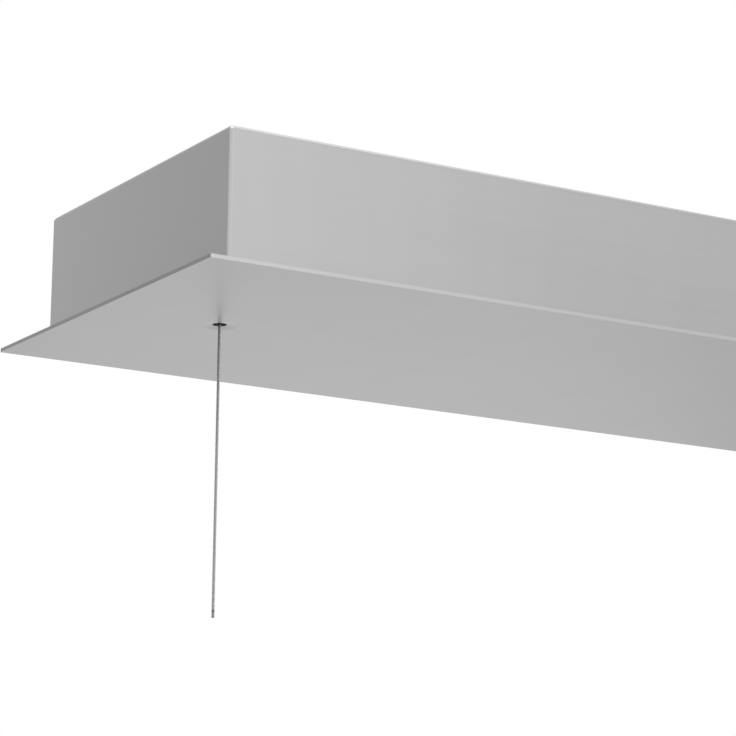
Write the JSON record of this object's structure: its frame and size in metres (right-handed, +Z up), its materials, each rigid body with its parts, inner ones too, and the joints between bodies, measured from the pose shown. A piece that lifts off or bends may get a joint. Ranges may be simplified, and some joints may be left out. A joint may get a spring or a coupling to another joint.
{
  "type": "linear pendant ceiling canopy",
  "caption": "Long low sheet-metal ceiling box in satin steel, closed from below by a thin oversize plate, with wire ropes hanging through small holes near its ends",
  "frame": {"origin": "middle of the face that lies against the ceiling, at the centre of the junction box slots", "axes": "+X along the canopy, +Y across it, +Z up into the ceiling; the pictured end is -X and the pictured long wall is -Y"},
  "size_m": [0.6344, 0.1514, 0.1412],
  "materials": {
    "satin_sheet": "satin, fine grain along the length",
    "zinc_sheet": "zinc plated",
    "nickel": "satin nickel plated",
    "rope_steel": "bare stranded steel",
    "spring_steel": "bright spring wire",
    "ball_steel": "polished",
    "magnet_nickel": "nickel plated",
    "white_enamel": "satin white",
    "board": "solder resist",
    "component": "moulded",
    "terminal": "natural nylon",
    "screw_zinc": "bright zinc",
    "screw_green": "green",
    "black_nylon": "moulded",
    "seal_rubber": "moulded",
    "insulation_black": "extruded",
    "insulation_white": "extruded",
    "insulation_red": "extruded",
    "insulation_blue": "extruded",
    "insulation_green": "extruded",
    "tinned_copper": "tinned"
  },
  "bodies": {
    "canopy": {"ceiling_pan": "satin_sheet", "catch_brackets": "zinc_sheet", "magnet_cups": "magnet_nickel", "magnet_discs": "magnet_nickel", "magnet_rivets": "screw_zinc", "driver_base": "white_enamel", "driver_cover": "white_enamel", "driver_board": "board", "driver_components": "component", "driver_screws": "screw_zinc", "mains_block": "terminal", "mains_clamp_screws": "screw_zinc", "lamp_block": "terminal", "lamp_clamp_screws": "screw_zinc", "block_fixing_screws": "screw_zinc", "earth_lug": "tinned_copper", "earth_screw": "screw_green", "lead_neutral": "insulation_white", "lead_line": "insulation_black", "lead_minus": "insulation_blue", "lead_plus": "insulation_red", "lead_earth": "insulation_green", "feed_bushing": "black_nylon", "gland_bracket": "zinc_sheet", "gland_locknut": "black_nylon", "gland_body": "black_nylon", "gland_seal": "seal_rubber", "gland_cap": "black_nylon", "gripper_bracket_left": "zinc_sheet", "gripper_coupler_left": "nickel", "gripper_nut_left": "screw_zinc", "gripper_barrel_left": "nickel", "gripper_spring_left": "spring_steel", "gripper_bracket_right": "zinc_sheet", "gripper_coupler_right": "nickel", "gripper_nut_right": "screw_zinc", "gripper_barrel_right": "nickel", "gripper_spring_right": "spring_steel"},
    "cover": {"cover_plate": "satin_sheet", "plate_tabs": "zinc_sheet", "cord_bushing": "black_nylon"},
    "release_left": {"gripper_plunger_left": "nickel", "gripper_balls_left": "ball_steel"},
    "rope_left": {"suspension_cable_left": "rope_steel", "cable_end_left": "rope_steel"},
    "release_right": {"gripper_plunger_right": "nickel", "gripper_balls_right": "ball_steel"},
    "rope_right": {"suspension_cable_right": "rope_steel", "cable_end_right": "rope_steel"}
  },
  "joints": [
    {"name": "cover_drop", "type": "slide", "parent": "canopy", "child": "cover", "axis": [0, 0, -1], "range_m": [0, 0.08]},
    {"name": "release_left_press", "type": "slide", "parent": "canopy", "child": "release_left", "axis": [0, 0, 1], "range_m": [0, 0.002], "stiffness_N_per_m": 400, "springref_m": -0.003, "deforming": ["gripper_spring_left"]},
    {"name": "rope_left_adjust", "type": "slide", "parent": "canopy", "child": "rope_left", "axis": [0, 0, 1], "range_m": [-0.02, 0.006]},
    {"name": "release_right_press", "type": "slide", "parent": "canopy", "child": "release_right", "axis": [0, 0, 1], "range_m": [0, 0.002], "stiffness_N_per_m": 400, "springref_m": -0.003, "deforming": ["gripper_spring_right"]},
    {"name": "rope_right_adjust", "type": "slide", "parent": "canopy", "child": "rope_right", "axis": [0, 0, 1], "range_m": [-0.02, 0.006]}
  ]
}
